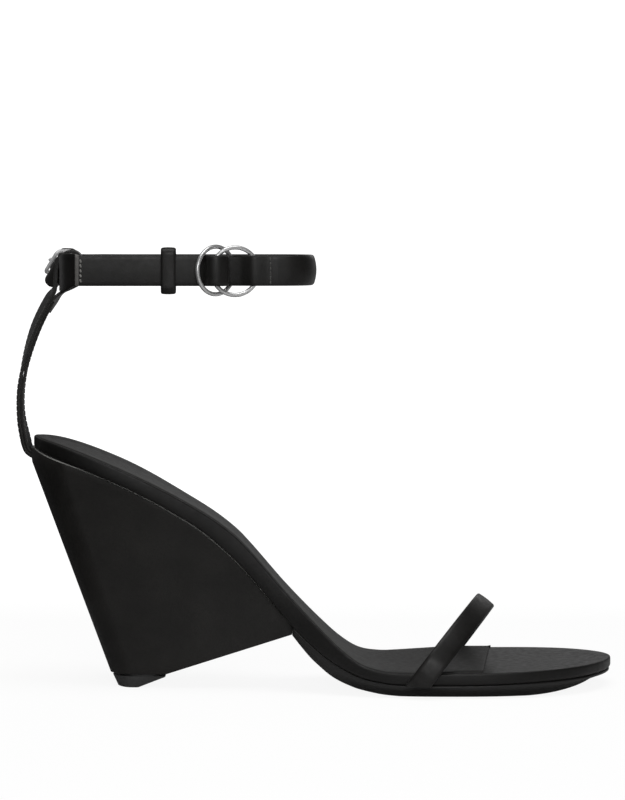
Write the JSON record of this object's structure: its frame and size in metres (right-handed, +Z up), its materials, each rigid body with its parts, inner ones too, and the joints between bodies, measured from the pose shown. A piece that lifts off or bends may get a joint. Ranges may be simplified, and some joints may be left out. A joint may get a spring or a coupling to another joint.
{
  "type": "wedge sandal",
  "caption": "High wedge-heel sandal for the right foot, with a slim toe strap, a heel strap and a buckled ankle strap with linked rings.",
  "frame": {"origin": "centre of the flat ground face of the top piece, under the heel", "axes": "+X to the toe, +Z up, -Y to the outer side of the right foot"},
  "size_m": [0.2288, 0.0833, 0.1696],
  "materials": {
    "upper_leather": "smooth black leather, satin",
    "lining_leather": "matte black lining leather",
    "wedge_leather": "smooth black leather stretched over the wedge",
    "sole": "black moulded outsole, satin",
    "heel_rubber": "dark grey hard rubber",
    "thread": "dark grey sewing thread",
    "hardware": "silver coloured, satin",
    "steel": "plain steel",
    "board": "pressed fibreboard",
    "foam": "latex foam",
    "core": "moulded plastic heel block"
  },
  "bodies": {
    "shoe": {"outsole": "sole", "insole_board": "board", "shank": "steel", "shank_rivets": "steel", "footbed_foam": "foam", "footbed_cover": "upper_leather", "sock_lining": "lining_leather", "wedge_core": "core", "wedge_cover": "wedge_leather", "heel_screw": "steel", "heel_nails": "steel", "top_piece": "heel_rubber", "top_piece_pins": "steel", "toe_strap": "upper_leather", "toe_strap_lining": "lining_leather"},
    "heel_strap": {"heel_strap": "upper_leather", "heel_strap_lining": "lining_leather", "heel_strap_stitches": "thread"},
    "ankle_strap": {"rear_strap": "upper_leather", "rear_strap_stitches": "thread", "front_strap": "upper_leather", "front_strap_stitches": "thread"},
    "keeper": {"strap_keeper": "upper_leather"},
    "rear_ring": {"ring_rear": "hardware"},
    "front_ring": {"ring_front": "hardware"},
    "buckle": {"buckle_frame": "hardware", "buckle_bar": "hardware"},
    "prong": {"buckle_prong": "hardware"}
  },
  "joints": [
    {"name": "heel_strap_flex", "type": "hinge", "parent": "shoe", "child": "heel_strap", "pos_m": [-0.039, 0, 0.0912], "axis": [0, 1, 0], "range_deg": [-15, 10]},
    {"name": "ankle_strap_tilt", "type": "hinge", "parent": "heel_strap", "child": "ankle_strap", "pos_m": [-0.0257, 0, 0.1597], "axis": [0, 1, 0], "range_deg": [-5, 5]},
    {"name": "keeper_slide", "type": "slide", "parent": "ankle_strap", "child": "keeper", "axis": [1, 0, 0], "range_m": [-0.024, 0.003]},
    {"name": "rear_ring_swing", "type": "hinge", "parent": "ankle_strap", "child": "rear_ring", "pos_m": [0.0399, -0.0213, 0.1598], "axis": [0, 0, 1], "range_deg": [-1, 8]},
    {"name": "front_ring_swing", "type": "hinge", "parent": "ankle_strap", "child": "front_ring", "pos_m": [0.0492, -0.024, 0.1595], "axis": [0, 0, 1], "range_deg": [-2, 1.5]},
    {"name": "buckle_tilt", "type": "hinge", "parent": "ankle_strap", "child": "buckle", "pos_m": [-0.0264, 0.0218, 0.1626], "axis": [-0.509, 0.2939, -0.809], "range_deg": [0, 5]},
    {"name": "prong_lift", "type": "hinge", "parent": "buckle", "child": "prong", "pos_m": [-0.0264, 0.0218, 0.1626], "axis": [-0.509, 0.2939, -0.809], "range_deg": [0, 50]}
  ]
}
